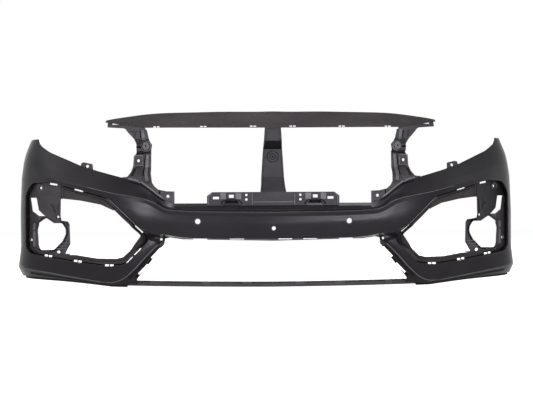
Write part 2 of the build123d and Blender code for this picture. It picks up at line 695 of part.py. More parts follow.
# The side stays, each with its arm under the bar and its foot behind the skin
stay_x, stay_y = SIDE_STAY_PLACE
turn = radians(SIDE_STAY_TURN)
side_plane = Plane(
    origin=(stay_x, FRONT + stay_y, 0),
    x_dir=(sin(turn), -cos(turn), 0),
    z_dir=(-cos(turn), -sin(turn), 0),
)
shoulder_band = band(beam_places, beam_corners, -SHOULDER_REACH, -BEAM_WALL - SHEET / 2, pushed)
with BuildPart() as left_side_stay:
    add(trimmed(path_sheet(side_plane, SIDE_PATH, -SHEET), front_block(SIDE_STAY)))
    add(trimmed(behind_beam, front_block(STAY_ARM)))
    add(trimmed(shoulder_band, front_block(STAY_SHOULDER)))
    add(trimmed(behind_skin, front_block(STAY_FOOT)))
    for x, z, radius in (GRILLE_TAB_HOLE, PAD_HOLE):
        add(round_block([(x, z)], radius), mode=Mode.SUBTRACT)
    add(slot_block([END_SLOT], NOTCH_HEIGHT), mode=Mode.SUBTRACT)
    add(round_block(FOOT_STUDS + ARM_STUDS, STUD), mode=Mode.SUBTRACT)
save(left_side_stay, "left_side_stay")
with BuildPart() as right_side_stay:
    add(other_side(left_side_stay.part))
save(right_side_stay, "right_side_stay")

# The lower bar
bar_line = Spline(*[(x, FRONT + y) for x, y in BAR_PLAN], tangents=((1, 0), BAR_END))
bar_places = places_along(bar_line, (*BAR_PLACES, bar_line.length))


def bar_corners(place):
    """The lower bar's outer face at one place: top flange, front and bottom flange."""
    low = along(BAR_HEIGHT, place.x)
    high = low + BAR_RISE - FLANGE_RISE
    return [
        (-BAR_TOP_FLANGE, high + FLANGE_RISE, 0),
        (0, high, BAR_ROUND),
        (0, low, BAR_ROUND),
        (-BAR_LOW_FLANGE, low - FLANGE_RISE, 0),
    ]


pad_block = front_block(CROSSBAR_PAD)
with BuildPart() as pad:
    add(trimmed(behind_skin, pad_block))
    add(trimmed(deep_band(-PAD_REACH, -SKIN - INTO_LAP), pad_block))
with BuildPart() as lower_crossbar:
    add(band(bar_places, bar_corners, -BAR_WALL, 0, shifted))
    add(pad.part)
    add(other_side(pad.part))
save(lower_crossbar, "lower_crossbar")

# Weld studs, one node for each lap
with BuildPart() as liner_studs:
    add(studs(both_ways(LINER_STUDS), shanks, heads))
save(liner_studs, "liner_studs")
with BuildPart() as strip_studs:
    add(studs(both_ways(STRIP_STUDS), shanks, heads))
save(strip_studs, "strip_studs")
with BuildPart() as tab_studs:
    add(studs(both_ways(TAB_STUDS), shanks, heads))
save(tab_studs, "tab_studs")
with BuildPart() as foot_studs:
    add(studs(both_ways(FOOT_STUDS), shanks, heads))
save(foot_studs, "foot_studs")
with BuildPart() as beam_studs:
    add(studs(both_ways(ARM_STUDS + TOP_STUDS), beam_shanks, beam_heads))
save(beam_studs, "beam_studs")
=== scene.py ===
"""Bare front bumper cover of a hatchback, dressed for the studio.

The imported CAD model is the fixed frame. This script gives each node its moulded or painted finish, adds
the ribs, pads, clip seats and edges that belong to the mouldings, and sets up the studio and the camera.
X is to the car's own left, -Y forwards, Z up. The scene is in metres, the pieces' sizes in millimetres.
"""

import json
import logging
import math
from contextlib import contextmanager
from dataclasses import dataclass, field
from enum import Enum
from typing import Iterator, Sequence

import bpy
from mathutils import Matrix, Vector


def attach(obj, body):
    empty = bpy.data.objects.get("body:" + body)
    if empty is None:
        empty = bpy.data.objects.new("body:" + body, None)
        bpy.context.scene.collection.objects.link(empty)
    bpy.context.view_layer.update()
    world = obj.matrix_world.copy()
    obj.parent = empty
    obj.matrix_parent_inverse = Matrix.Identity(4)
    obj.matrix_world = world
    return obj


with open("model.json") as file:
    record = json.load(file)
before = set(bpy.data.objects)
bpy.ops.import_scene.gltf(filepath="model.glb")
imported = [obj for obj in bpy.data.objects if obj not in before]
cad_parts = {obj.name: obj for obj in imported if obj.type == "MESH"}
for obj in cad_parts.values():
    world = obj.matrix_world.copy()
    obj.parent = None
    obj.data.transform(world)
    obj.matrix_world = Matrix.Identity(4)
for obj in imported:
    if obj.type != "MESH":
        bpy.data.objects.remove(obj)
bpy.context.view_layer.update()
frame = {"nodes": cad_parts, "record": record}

logging.basicConfig(level=logging.INFO, format="%(message)s")
LOG = logging.getLogger("bumper")

BODY = "root"
MM = 0.001
STAY = "{side}_side_stay"
LINER = "{side}_fog_liner"
PLATE = "{side}_fog_plate"
RING = "{side}_fog_ring"
CENTRE = "centre_stay"
FACE = "face_moulding"
BEAM = "top_beam"
BAR = "lower_crossbar"

Point = tuple[float, float, float]
Flat = tuple[float, float]
Spot = tuple[Vector, Vector]
Section = tuple[Flat, ...]
Colour = tuple[float, float, float]
Piece = bpy.types.Object
Socket = bpy.types.NodeSocket
Input = float | Point | Socket

# The fog lamp aperture's corners in the skin, and what a rounding takes off each side of them.
APERTURE: tuple[Flat, ...] = (
    (869, 130), (869, 318), (842, 359), (768, 361), (560, 307), (422, 177), (422, 154), (502, 74),
    (574, 69), (686, 81), (795, 96.5), (852, 107))
APERTURE_CUT = 16.0
# The fog lamp opening's corners in the ring.
LAMP_HOLE: tuple[Flat, ...] = (
    (794, 234), (766, 215), (738, 215), (725, 194), (725, 175), (738, 149), (767, 121), (811, 120),
    (823, 135), (824, 162), (827, 191), (818, 217))
# How deep an added moulding stands in the surface that it is on.
FOOT = -1.0
# The longest straight run of a moulding, unless it gives its own.
STEP = 9.0


class Side(Enum):
    """Which side of the car a piece is on."""

    LEFT = 1
    RIGHT = -1

    @property
    def word(self) -> str:
        """The side's name, as the CAD nodes spell it."""
        return self.name.lower()


class Slot(Enum):
    """The record's material slots."""

    SKIN = "skin_paint"
    GRAINED = "grained_plastic"
    RAW = "raw_plastic"
    STUD = "stud_plastic"


# ------------------------------ finishes


class Shader:
    """A material's node tree, with short calls for the nodes that the finishes use."""

    def __init__(self, name: str) -> None:
        """Starts an empty material.

        Args:
            name: the material's name.
        """
        self.material = bpy.data.materials.new(name)
        self.material.use_nodes = True
        self.tree = self.material.node_tree
        self.surface = self.tree.nodes["Principled BSDF"]
        self.place = self.tree.nodes.new("ShaderNodeTexCoord").outputs["Object"]

    def add(self, kind: str, output: str, inputs: dict[str, Input]) -> Socket:
        """Adds a node to the material.

        Args:
            kind: the node's type, without its prefix.
            output: the socket that the caller goes on with.
            inputs: each input's value, or the socket that it is linked to.

        Returns:
            The output socket.
        """
        node = self.tree.nodes.new(f"ShaderNode{kind}")
        for name, value in inputs.items():
            if isinstance(value, Socket):
                self.tree.links.new(value, node.inputs[name])
            else:
                node.inputs[name].default_value = value
        return node.outputs[output]

    def noise(self, scale: float, detail: float, roughness: float,
              stretch: Point = (1.0, 1.0, 1.0)) -> Socket:
        """Cloudy noise over the piece.

        Args:
            scale: waves per metre.
            detail: octaves.
            roughness: share kept by each octave.
            stretch: scale of each axis.

        Returns:
            The noise's factor socket.
        """
        place = self.add("Mapping", "Vector", {"Vector": self.place, "Scale": stretch})
        inputs = {"Vector": place, "Scale": scale, "Detail": detail, "Roughness": roughness}
        return self.add("TexNoise", "Fac", inputs)

    def cells(self, scale: float) -> Socket:
        """Pebbled moulding grain, with so many cells per metre."""
        return self.add("TexVoronoi", "Distance", {"Vector": self.place, "Scale": scale})

    def span(self, factor: Socket, low: float, high: float, from_low: float = 0.3,
             from_high: float = 0.7) -> Socket:
        """Maps a pattern to a range of values.

        Args:
            factor: the pattern.
            low: value at the pattern's low end.
            high: value at its high end.
            from_low: the pattern's low end.
            from_high: the pattern's high end.

        Returns:
            The mapped socket.
        """
        return self.add("MapRange", "Result", {
            "Value": factor, "From Min": from_low, "From Max": from_high, "To Min": low, "To Max": high})

    def band(self, height: float, half: float) -> Socket:
        """One within a level band of the piece, else zero.

        Args:
            height: the band's middle.
            half: half its height.

        Returns:
            The factor socket.
        """
        level = self.add("SeparateXYZ", "Z", {"Vector": self.place})
        node = self.tree.nodes.new("ShaderNodeMath")
        node.operation = "COMPARE"
        self.tree.links.new(level, node.inputs[0])
        node.inputs[1].default_value = height
        node.inputs[2].default_value = half
        return node.outputs["Value"]

    def blend(self, factor: Socket, first: Colour | Socket, second: Colour) -> Socket:
        """A colour between two, by a pattern.

        Args:
            factor: the pattern, 0 to 1.
            first: colour at 0, or its socket.
            second: colour at 1.

        Returns:
            The colour socket.
        """
        node = self.tree.nodes.new("ShaderNodeMix")
        node.data_type = "RGBA"
        colours = [socket for socket in node.inputs if socket.type == "RGBA"]
        if isinstance(first, Socket):
            self.tree.links.new(first, colours[0])
        else:
            colours[0].default_value = (*first, 1.0)
        colours[1].default_value = (*second, 1.0)
        self.tree.links.new(factor, node.inputs["Factor"])
        return next(socket for socket in node.outputs if socket.type == "RGBA")

    def bump(self, height: Socket, distance: float, strength: float, under: Socket | None = None) -> Socket:
        """A bumped normal.

        Args:
            height: the height pattern.
            distance: full height in metres.
            strength: share of it that shows.
            under: a normal that this one lies on.

        Returns:
            The normal socket.
        """
        inputs = {"Distance": distance, "Strength": strength, "Height": height}
        if under is not None:
            inputs["Normal"] = under
        return self.add("Bump", "Normal", inputs)

    def drive(self, socket: str, value: Socket) -> None:
        """Links a value to one of the surface's sockets."""
        self.tree.links.new(value, self.surface.inputs[socket])

    def fix(self, socket: str, value: float | Sequence[float]) -> None:
        """Sets one of the surface's sockets."""
        self.surface.inputs[socket].default_value = value


@dataclass(frozen=True)
class Finish:
    """What every finish has: its two tones, its sheen, and the fields that its patterns are made of."""

    name: str
    deep: Colour
    pale: Colour
    sheen_low: float
    sheen_high: float
    specular: float = 0.107
    tint: Colour = (0.93, 0.88, 1.0)

    def start(self) -> Shader:
        """Starts the material, with its constant sheen."""
        shader = Shader(self.name)
        shader.fix("Specular IOR Level", self.specular)
        shader.fix("Specular Tint", (*self.tint, 1.0))
        return shader


@dataclass(frozen=True)
class PaintedSkin(Finish):
    """Satin black primer over moulded plastic: a faint orange peel, dust and light handling marks."""

    name: str = "satin_primer"
    deep: Colour = (0.0063, 0.0056, 0.0066)
    pale: Colour = (0.0095, 0.0086, 0.0099)
    sheen_low: float = 0.28
    sheen_high: float = 0.36
    dust_scale: float = 5.0
    rub_scale: float = 34.0
    rub_stretch: Point = (0.4, 1.0, 1.6)
    wave_scale: float = 9.0
    wave_height: float = 0.003
    wave_strength: float = 0.12
    peel_scale: float = 420.0
    peel_height: float = 0.00022
    peel_strength: float = 0.35

    def build(self) -> bpy.types.Material:
        """Makes the material.

        Returns:
            The material.
        """
        shader = self.start()
        dust = shader.span(shader.noise(self.dust_scale, detail=4.0, roughness=0.6), 0.0, 1.0)
        shader.drive("Base Color", shader.blend(dust, self.deep, self.pale))
        rubbed = shader.noise(self.rub_scale, detail=5.0, roughness=0.65, stretch=self.rub_stretch)
        shader.drive("Roughness", shader.span(rubbed, self.sheen_low, self.sheen_high))
        peel = shader.noise(self.peel_scale, detail=2.0, roughness=0.4)
        wave = shader.noise(self.wave_scale, detail=1.0, roughness=0.4)
        under = shader.bump(wave, self.wave_height, self.wave_strength)
        shader.drive("Normal", shader.bump(peel, self.peel_height, self.peel_strength, under))
        return shader.material


@dataclass(frozen=True)
class MouldedPlastic(Finish):
    """Bare moulded plastic with an etched grain, flow marks and pale scuffs.

    Where a band is given, as (height, half height) in metres, it is painted near black: painted shade, set
    by height alone.
    """

    name: str = "bare_plastic"
    deep: Colour = (0.024, 0.022, 0.025)
    pale: Colour = (0.038, 0.035, 0.039)
    sheen_low: float = 0.48
    sheen_high: float = 0.62
    flow_scale: float = 14.0
    flow_stretch: Point = (0.5, 0.5, 2.2)
    scuff_scale: float = 60.0
    uneven_scale: float = 22.0
    uneven_height: float = 0.002
    uneven_strength: float = 0.15
    grain_scale: float = 1300.0
    grain_height: float = 0.0003
    grain_strength: float = 0.5
    # a level band of painted shade, and its near black colour
    band: Flat | None = None
    band_shade: Colour = (0.003, 0.003, 0.003)

    def build(self) -> bpy.types.Material:
        """Makes the material.

        Returns:
            The material.
        """
        shader = self.start()
        flow = shader.noise(self.flow_scale, detail=4.0, roughness=0.6, stretch=self.flow_stretch)
        colour = shader.blend(shader.span(flow, 0.0, 1.0), self.deep, self.pale)
        # painted shade: within the band the near black colour replaces the plastic's tones
        if self.band:
            colour = shader.blend(shader.band(*self.band), colour, self.band_shade)
        shader.drive("Base Color", colour)
        scuffs = shader.noise(self.scuff_scale, detail=6.0, roughness=0.7)
        shader.drive("Roughness", shader.span(scuffs, self.sheen_low, self.sheen_high))
        uneven = shader.noise(self.uneven_scale, detail=2.0, roughness=0.5)
        under = shader.bump(uneven, self.uneven_height, self.uneven_strength)
        grain = shader.cells(self.grain_scale)
        shader.drive("Normal", shader.bump(grain, self.grain_height, self.grain_strength, under))
        return shader.material


AnyFinish = PaintedSkin | MouldedPlastic

SATIN_SKIN = PaintedSkin()
BARE_PLASTIC = MouldedPlastic()
# a paler primer for beads along the ridges and the crease: painted highlight lines
EDGE_HIGHLIGHT_PRIMER = PaintedSkin("rubbed_primer", (0.045, 0.042, 0.046), (0.075, 0.071, 0.077), 0.3, 0.4,
                          specular=0.1)
GRAINED_PLASTIC = MouldedPlastic("grained_plastic", (0.018, 0.016, 0.017), (0.029, 0.026, 0.027))
STUD_PLASTIC = MouldedPlastic("stud_plastic", (0.016, 0.015, 0.016), (0.04, 0.038, 0.04),
                              grain_scale=2600.0)
# the centre stay's plastic, with painted shade in a near black band where its face turns down, away from
# the lamps
STAY_PLASTIC_SHADE_BAND = MouldedPlastic("stay_plastic", (0.0145, 0.0135, 0.016), (0.024, 0.0225, 0.026),
                              band=(0.4775, 0.0135))
# a darker copy of the bare plastic for the left fog plate only: painted shade on the side that is lit less
PAINTED_SHADED_PLATE = MouldedPlastic("shaded_plate_plastic", (0.0068, 0.0062, 0.0068), (0.0125, 0.0115, 0.0125),
                              specular=0.12)
# a paler copy of the bare plastic for raised pads, ridges, bosses and steps: painted highlight where they
# catch the light
PAINTED_HIGHLIGHT_PLASTIC = MouldedPlastic("worn_plastic", (0.062, 0.058, 0.064), (0.095, 0.09, 0.098))
# a near black matt plastic for recesses, the lip, the knee, the lower strips and the arch pockets: painted
# shade
PAINTED_SHADE_MATT = MouldedPlastic("dark_matt", (0.005, 0.0046, 0.0048), (0.009, 0.0083, 0.0086), specular=0.03)
# an almost black plastic for thin flush lines along folds, grooves, gaps and rings: painted shadow
GROOVE = MouldedPlastic("dark_groove", (0.0015, 0.0013, 0.0014), (0.003, 0.0027, 0.0028), specular=0.02)


class Look(Enum):
    """How an added piece looks, next to the node that it is on."""

    SKIN = "painted like the skin"
    GRAINED = "grained plastic"
    RAW = "bare plastic"
    # painted highlight: paler paint that stands for the light along ridges and creases
    RUBBED = "paint rubbed to a paler grey"
    # painted highlight: paler plastic on raised pads, ridges and bosses
    WORN = "bare plastic, paler than the rest"
    # painted shade: a dark matt sheet laid where shade falls
    SHADE = "matt and dark, as in a recess"
    # painted shadow: a thin flush black line where a groove or a gap would hold shade
    GROOVE = "a deep line that holds no light"


Looks = dict[Look, tuple[bpy.types.Material, Slot]]
Dressed = Iterator[tuple[Piece, Look]]


# ------------------------------ studio


@dataclass
class Softbox:
    """One large soft lamp."""

    name: str
    place: Point
    width: float
    height: float
    power: float
    aim: Point = (0.0, 0.0, 0.3)

    def build(self) -> bpy.types.Object:
        """Adds the lamp.

        Returns:
            The lamp's object.
        """
        data = bpy.data.lights.new(self.name, "AREA")
        data.shape = "RECTANGLE"
        data.size = self.width
        data.size_y = self.height
        data.energy = self.power
        lamp = bpy.data.objects.new(self.name, data)
        bpy.context.scene.collection.objects.link(lamp)
        lamp.location = self.place
        direction = Vector(self.aim) - Vector(self.place)
        lamp.rotation_euler = direction.to_track_quat("-Z", "Y").to_euler()
        return lamp


@dataclass
class Studio:
    """Floor, backdrop colour, lamps and camera."""

    floor_half: float = 9.0
    floor_grey: float = 0.8
    floor_glow: float = 0.87
    floor_roughness: float = 0.9
    floor_specular: float = 0.1
    ambient: float = 0.05
    lens_mm: float = 101.99
    sensor_mm: float = 36.0
    camera_turn_deg: float = -2.3
    camera_roll_deg: float = -0.3
    camera_distance: float = 5.0
    camera_reach: float = 60.0
    target: Point = (-0.024, -0.32, 0.294)
    lamps: Sequence[Softbox] = field(default_factory=lambda: (
        Softbox("left_low", (-2.487, -3.829, 0.861), 1.2, 0.9, 183.0),
        Softbox("right_low", (1.418, -4.364, 0.621), 1.2, 0.5, 164.0),
        Softbox("right", (2.689, -3.701, 0.781), 1.2, 0.9, 64.0),
        Softbox("overhead", (0.0, -2.160, 4.362), 1.6, 1.6, 72.0),
        Softbox("left_high", (-3.345, -2.430, 2.317), 1.2, 1.2, 20.0),
        Softbox("left_rear", (-3.886, 0.340, 2.738), 1.2, 1.2, 15.0),
        Softbox("behind", (0.4, 4.4, 1.5), 2.0, 1.2, 110.0),
    ))

    def world(self) -> None:
        """White behind everything for the camera, a soft grey fill for the object."""
        world = bpy.data.worlds.new("studio")
        bpy.context.scene.world = world
        world.use_nodes = True
        tree = world.node_tree
        background = tree.nodes["Background"]
        background.inputs["Color"].default_value = (1.0, 1.0, 1.0, 1.0)
        mix = tree.nodes.new("ShaderNodeMapRange")
        mix.inputs["To Min"].default_value = self.ambient
        mix.inputs["To Max"].default_value = 1.0
        tree.links.new(self.seen_rays(tree), mix.inputs["Value"])
        tree.links.new(mix.outputs["Result"], background.inputs["Strength"])

    @staticmethod
    def seen_rays(tree: bpy.types.NodeTree) -> Socket:
        """One where a ray comes from the camera, a reflection or a clear material, else zero.

        Args:
            tree: the node tree to work in.

        Returns:
            The socket.
        """
        rays = tree.nodes.new("ShaderNodeLightPath")
        seen = rays.outputs["Is Camera Ray"]
        for kind in ("Is Glossy Ray", "Is Transmission Ray"):
            either = tree.nodes.new("ShaderNodeMath")
            either.operation = "MAXIMUM"
            tree.links.new(seen, either.inputs[0])
            tree.links.new(rays.outputs[kind], either.inputs[1])
            seen = either.outputs["Value"]
        return seen

    def floor(self) -> bpy.types.Object:
        """Adds the plain white floor, which keeps a faint shadow.

        Returns:
            The floor's object.
        """
        bpy.ops.object.select_all(action="DESELECT")
        bpy.ops.mesh.primitive_plane_add(size=2.0 * self.floor_half, location=(0.0, 0.0, 0.0))
        floor = bpy.context.active_object
        floor.name = "studio_floor"
        shader = Shader("studio_white")
        shader.fix("Roughness", self.floor_roughness)
        shader.fix("Specular IOR Level", self.floor_specular)
        shader.fix("Base Color", (self.floor_grey, self.floor_grey, self.floor_grey, 1.0))
        shader.fix("Emission Color", (1.0, 1.0, 1.0, 1.0))
        seen = self.seen_rays(shader.tree)
        glow = shader.span(seen, 0.0, self.floor_glow, from_low=0.0, from_high=1.0)
        shader.drive("Emission Strength", glow)
        floor.data.materials.append(shader.material)
        return floor

    def camera(self) -> bpy.types.Object:
        """Adds the camera at the photograph's viewing angle.

        Returns:
            The camera's object.
        """
        data = bpy.data.cameras.new("view")
        data.lens = self.lens_mm
        data.sensor_width = self.sensor_mm
        data.clip_end = self.camera_reach
        camera = bpy.data.objects.new("view", data)
        bpy.context.scene.collection.objects.link(camera)
        turn = math.radians(self.camera_turn_deg)
        roll = math.radians(self.camera_roll_deg)
        back = Vector((math.sin(turn), -math.cos(turn), 0.0))
        right = Vector((math.cos(turn), math.sin(turn), 0.0))
        up = Vector((0.0, 0.0, 1.0))
        rolled_right = math.cos(roll) * right + math.sin(roll) * up
        rolled_up = math.cos(roll) * up - math.sin(roll) * right
        place = Vector(self.target) + self.camera_distance * back
        matrix = Matrix((rolled_right, rolled_up, back)).transposed().to_4x4()
        matrix.translation = place
        camera.matrix_world = matrix
        bpy.context.scene.camera = camera
        return camera

    def build(self) -> None:
        """Sets up the whole studio."""
        bpy.context.scene.view_settings.view_transform = "Standard"
        self.world()
        self.floor()
        self.camera()
        for lamp in self.lamps:
            lamp.build()
            LOG.info("lamp %s", lamp.name)


# ------------------------------ modelling


class Bench:
    """The modelling calls that the pieces share. Points are in millimetres, in the model's frame."""

    bevel_segments = 2
    bevel_from_deg = 35.0
    smooth_to_deg = 40.0
    bead_smooth_to_deg = 50.0
    ribbon_edge = 0.3
    weld_gap = 0.02
    corner_runs = 4
    corner_share = 0.45
    eye_m = -2.0

    @staticmethod
    def clear() -> None:
        """Leaves edit mode and deselects everything."""
        if bpy.context.mode != "OBJECT":
            bpy.ops.object.mode_set(mode="OBJECT")
        bpy.ops.object.select_all(action="DESELECT")

    @staticmethod
    @contextmanager
    def editing() -> Iterator[None]:
        """Opens all of the active piece in edit mode, and points its faces outwards at the end."""
        bpy.ops.object.mode_set(mode="EDIT")
        bpy.ops.mesh.select_all(action="SELECT")
        yield
        bpy.ops.mesh.select_all(action="SELECT")
        bpy.ops.mesh.normals_make_consistent(inside=False)
        bpy.ops.object.mode_set(mode="OBJECT")

    @staticmethod
    def outline(name: str, points: Sequence[Point], filled: bool) -> Piece:
        """A closed outline, made of a circle whose corners are moved to the given points.

        Args:
            name: the piece's name.
            points: the outline's corners.
            filled: whether it is a face or only its edge.

        Returns:
            The piece, active and selected.
        """
        Bench.clear()
        bpy.ops.mesh.primitive_circle_add(
            vertices=len(points), radius=MM, fill_type="NGON" if filled else "NOTHING")
        piece = bpy.context.active_object
        piece.name = name
        piece.data.name = name
        for vertex, point in zip(piece.data.vertices, points):
            vertex.co = Vector(point) * MM
        return piece

    @staticmethod
    def thicken(piece: Piece, wall: float) -> None:
        """Gives a sheet its wall, half to each side.

        Args:
            piece: the sheet.
            wall: its thickness.
        """
        solid = piece.modifiers.new("wall", "SOLIDIFY")
        solid.thickness = wall * MM
        solid.offset = 0.0
        solid.use_even_offset = True
        bpy.ops.object.modifier_apply(modifier=solid.name)

    @staticmethod
    def soften(piece: Piece, width: float) -> None:
        """Rounds a piece's edges and smooths its shading.

        Args:
            piece: the piece.
            width: width of the rounding.
        """
        bevel = piece.modifiers.new("edges", "BEVEL")
        bevel.width = width * MM
        bevel.segments = Bench.bevel_segments
        bevel.limit_method = "ANGLE"
        bevel.angle_limit = math.radians(Bench.bevel_from_deg)
        bpy.ops.object.modifier_apply(modifier=bevel.name)
        bpy.ops.object.shade_smooth_by_angle(angle=math.radians(Bench.smooth_to_deg))

    @staticmethod
    def collar(name: str, points: Sequence[Point], depth: Point, wall: float, edge: float = 0.5) -> Piece:
        """A wall that stands around an outline.

        Args:
            name: the piece's name.
            points: the outline's corners.
            depth: the move from one rim to the other.
            wall: the wall's thickness.
            edge: width of the softened edges.

        Returns:
            The collar.
        """
        piece = Bench.outline(name, points, filled=False)
        with Bench.editing():
            move = tuple(part * MM for part in depth)
            bpy.ops.mesh.extrude_region_move(TRANSFORM_OT_translate={"value": move})
        Bench.thicken(piece, wall)
        Bench.soften(piece, edge)
        return piece

    @staticmethod
    def rounded(points: Sequence[Flat], cut: float, closed: bool = False) -> list[Flat]:
        """A flat outline with its corners rounded.

        Args:
            points: the outline's corners, each (distance from the centre plane, height).
            cut: length that a rounding takes off each side of a corner.
            closed: whether the last corner joins the first.

        Returns:
            The outline's points.
        """
        line: list[Flat] = []
        last = len(points) - 1
        for i, corner in enumerate(points):
            if not closed and i in (0, last):
                line.append(tuple(corner))
                continue
            here = Vector(corner)
            ends = []
            for other in (Vector(points[i - 1]), Vector(points[(i + 1) % (last + 1)])):
                run = other - here
                ends.append(here + run * min(cut / run.length, Bench.corner_share))
            for step in range(Bench.corner_runs + 1):
                t = step / Bench.corner_runs
                spot = (1 - t) ** 2 * ends[0] + 2 * t * (1 - t) * here + t ** 2 * ends[1]
                line.append((spot.x, spot.y))
        return line

    @staticmethod
    def spaced(points: Sequence[Flat], step: float, closed: bool = False) -> list[Flat]:
        """A flat line with more points, none further apart than a step.

        Args:
            points: the line's points.
            step: the longest run.
            closed: whether the last point joins the first.

        Returns:
            The points.
        """
        line: list[Flat] = []
        whole = [*points, points[0]] if closed else list(points)
        for a, b in zip(whole, whole[1:]):
            first, second = Vector(a), Vector(b)
            count = max(1, math.ceil((second - first).length / step))
            for i in range(count):
                spot = first.lerp(second, i / count)
                line.append((spot.x, spot.y))
        if not closed:
            line.append(tuple(points[-1]))
        return line

    @staticmethod
    def inset(points: Sequence[Flat], distance: float, closed: bool = True) -> list[Flat]:
        """A flat outline moved to its left-hand side, its corners mitred.

        Args:
            points: the outline's corners.
            distance: how far it moves.
            closed: whether the last corner joins the first.

        Returns:
            The moved corners.
        """
        moved: list[Flat] = []
        count = len(points)
        for i, corner in enumerate(points):
            normals = []
            for a, b in ((i - 1, i), (i, i + 1)):
                if not closed and (a < 0 or b >= count):
                    continue
                run = Vector(points[b % count]) - Vector(points[a % count])
                normals.append(Vector((-run.y, run.x)).normalized())
            total = sum(normals, Vector((0.0, 0.0)))
            shift = total * (distance * len(normals) / total.length_squared)
            moved.append((corner[0] + shift.x, corner[1] + shift.y))
        return moved

    @staticmethod
    def surface(node: str, x: float, z: float) -> Spot | None:
        """The front surface of a CAD node at a place seen from the front.

        Args:
            node: the CAD node.
            x: place across.
            z: height.

        Returns:
            The point and the normal there, or nothing where the node is open.
        """
        start = Vector((x * MM, Bench.eye_m, z * MM))
        found, place, normal, _ = frame["nodes"][node].ray_cast(start, Vector((0.0, 1.0, 0.0)))
        if not found:
            return None
        if normal.y > 0.0:
            normal = -normal
        return place / MM, normal

    @staticmethod
    def trace(node: str, side: Side, line: Sequence[Flat], spread: float = 0.0) -> list[Spot]:
        """The points of a front-view line on a CAD node.

        Args:
            node: the CAD node.
            side: the side of the car; the line is given for the car's left.
            line: the line's points.
            spread: where the line is an edge, how far to either side of it the normal is taken.

        Returns:
            The points and normals, without those that the node is open at.
        """
        spots = []
        for x, z in line:
            spot = Bench.surface(node, side.value * x, z)
            if spot is None:
                continue
            point, normal = spot
            if spread:
                for shift in (-spread, spread):
                    near = Bench.surface(node, side.value * x, z + shift)
                    if near is not None:
                        normal = normal + near[1]
            spots.append((point, normal.normalized()))
        return spots

    @staticmethod
    def grid(name: str, rows: Sequence[Sequence[Vector]]) -> Piece:
        """A sheet through rows of points, made of a grid whose corners are moved to them.

        Args:
            name: the piece's name.
            rows: rows of as many points each.

        Returns:
            The sheet, active and selected.
        """
        Bench.clear()
        wide, high = len(rows[0]) - 1, len(rows) - 1
        bpy.ops.mesh.primitive_grid_add(x_subdivisions=wide, y_subdivisions=high, size=2.0)
        piece = bpy.context.active_object
        piece.name = name
        piece.data.name = name
        for vertex in piece.data.vertices:
            column = round((vertex.co.x + 1.0) / 2.0 * wide)
            row = round((vertex.co.y + 1.0) / 2.0 * high)
            vertex.co = rows[row][column] * MM
        return piece

    @staticmethod
    def close_up(capped: bool) -> None:
        """Joins the active grid's meeting edges and fills its open ends.

        Args:
            capped: whether open ends are filled.
        """
        with Bench.editing():
            bpy.ops.mesh.remove_doubles(threshold=Bench.weld_gap * MM)
            if capped:
                bpy.ops.mesh.fill_holes(sides=0)

    @staticmethod
    def bead(name: str, spots: Sequence[Spot], section: Section, closed: bool = False,
             edge: float = 0.0) -> Piece:
        """A bar of one section along a line on a surface.

        Args:
            name: the piece's name.
            spots: the line's points and normals.
            section: the section's corners, each (across the line, out of the surface).
            closed: whether the line is a ring.
            edge: width of the softened edges, if any.

        Returns:
            The bar.
        """
        count = len(spots)
        rows: list[list[Vector]] = [[] for _ in range(len(section) + 1)]
        for i in range(count + 1 if closed else count):
            point, normal = spots[i % count]
            ahead = spots[(i + 1) % count if closed else min(i + 1, count - 1)][0]
            behind = spots[(i - 1) % count if closed else max(i - 1, 0)][0]
            across = (ahead - behind).cross(normal).normalized()
            for row, (aside, out) in zip(rows, [*section, section[0]]):
                row.append(point + across * aside + normal * out)
        piece = Bench.grid(name, rows)
        Bench.close_up(capped=not closed)
        if edge:
            Bench.soften(piece, edge)
        else:
            bpy.ops.object.shade_smooth_by_angle(angle=math.radians(Bench.bead_smooth_to_deg))
        return piece

    @staticmethod
    def ribbon(name: str, rails: Sequence[Sequence[Vector]], wall: float) -> Piece:
        """A sheet with a wall, through several rails.

        Args:
            name: the piece's name.
            rails: the lines that it runs through, with as many points each.
            wall: its thickness.

        Returns:
            The sheet.
        """
        piece = Bench.grid(name, rails)
        Bench.close_up(capped=False)
        Bench.thicken(piece, wall)
        Bench.soften(piece, Bench.ribbon_edge)
        return piece

    @staticmethod
    def place(piece: Piece, material: bpy.types.Material, slot: Slot) -> None:
        """Dresses a finished piece and lets it ride on the cover.

        Args:
            piece: the piece.
            material: its finish.
            slot: the record's material slot; not used.
        """
        piece.data.materials.clear()
        piece.data.materials.append(material)
        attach(piece, BODY)
        LOG.info("piece %s: %d faces", piece.name, len(piece.data.polygons))


# ------------------------------ dressed nodes


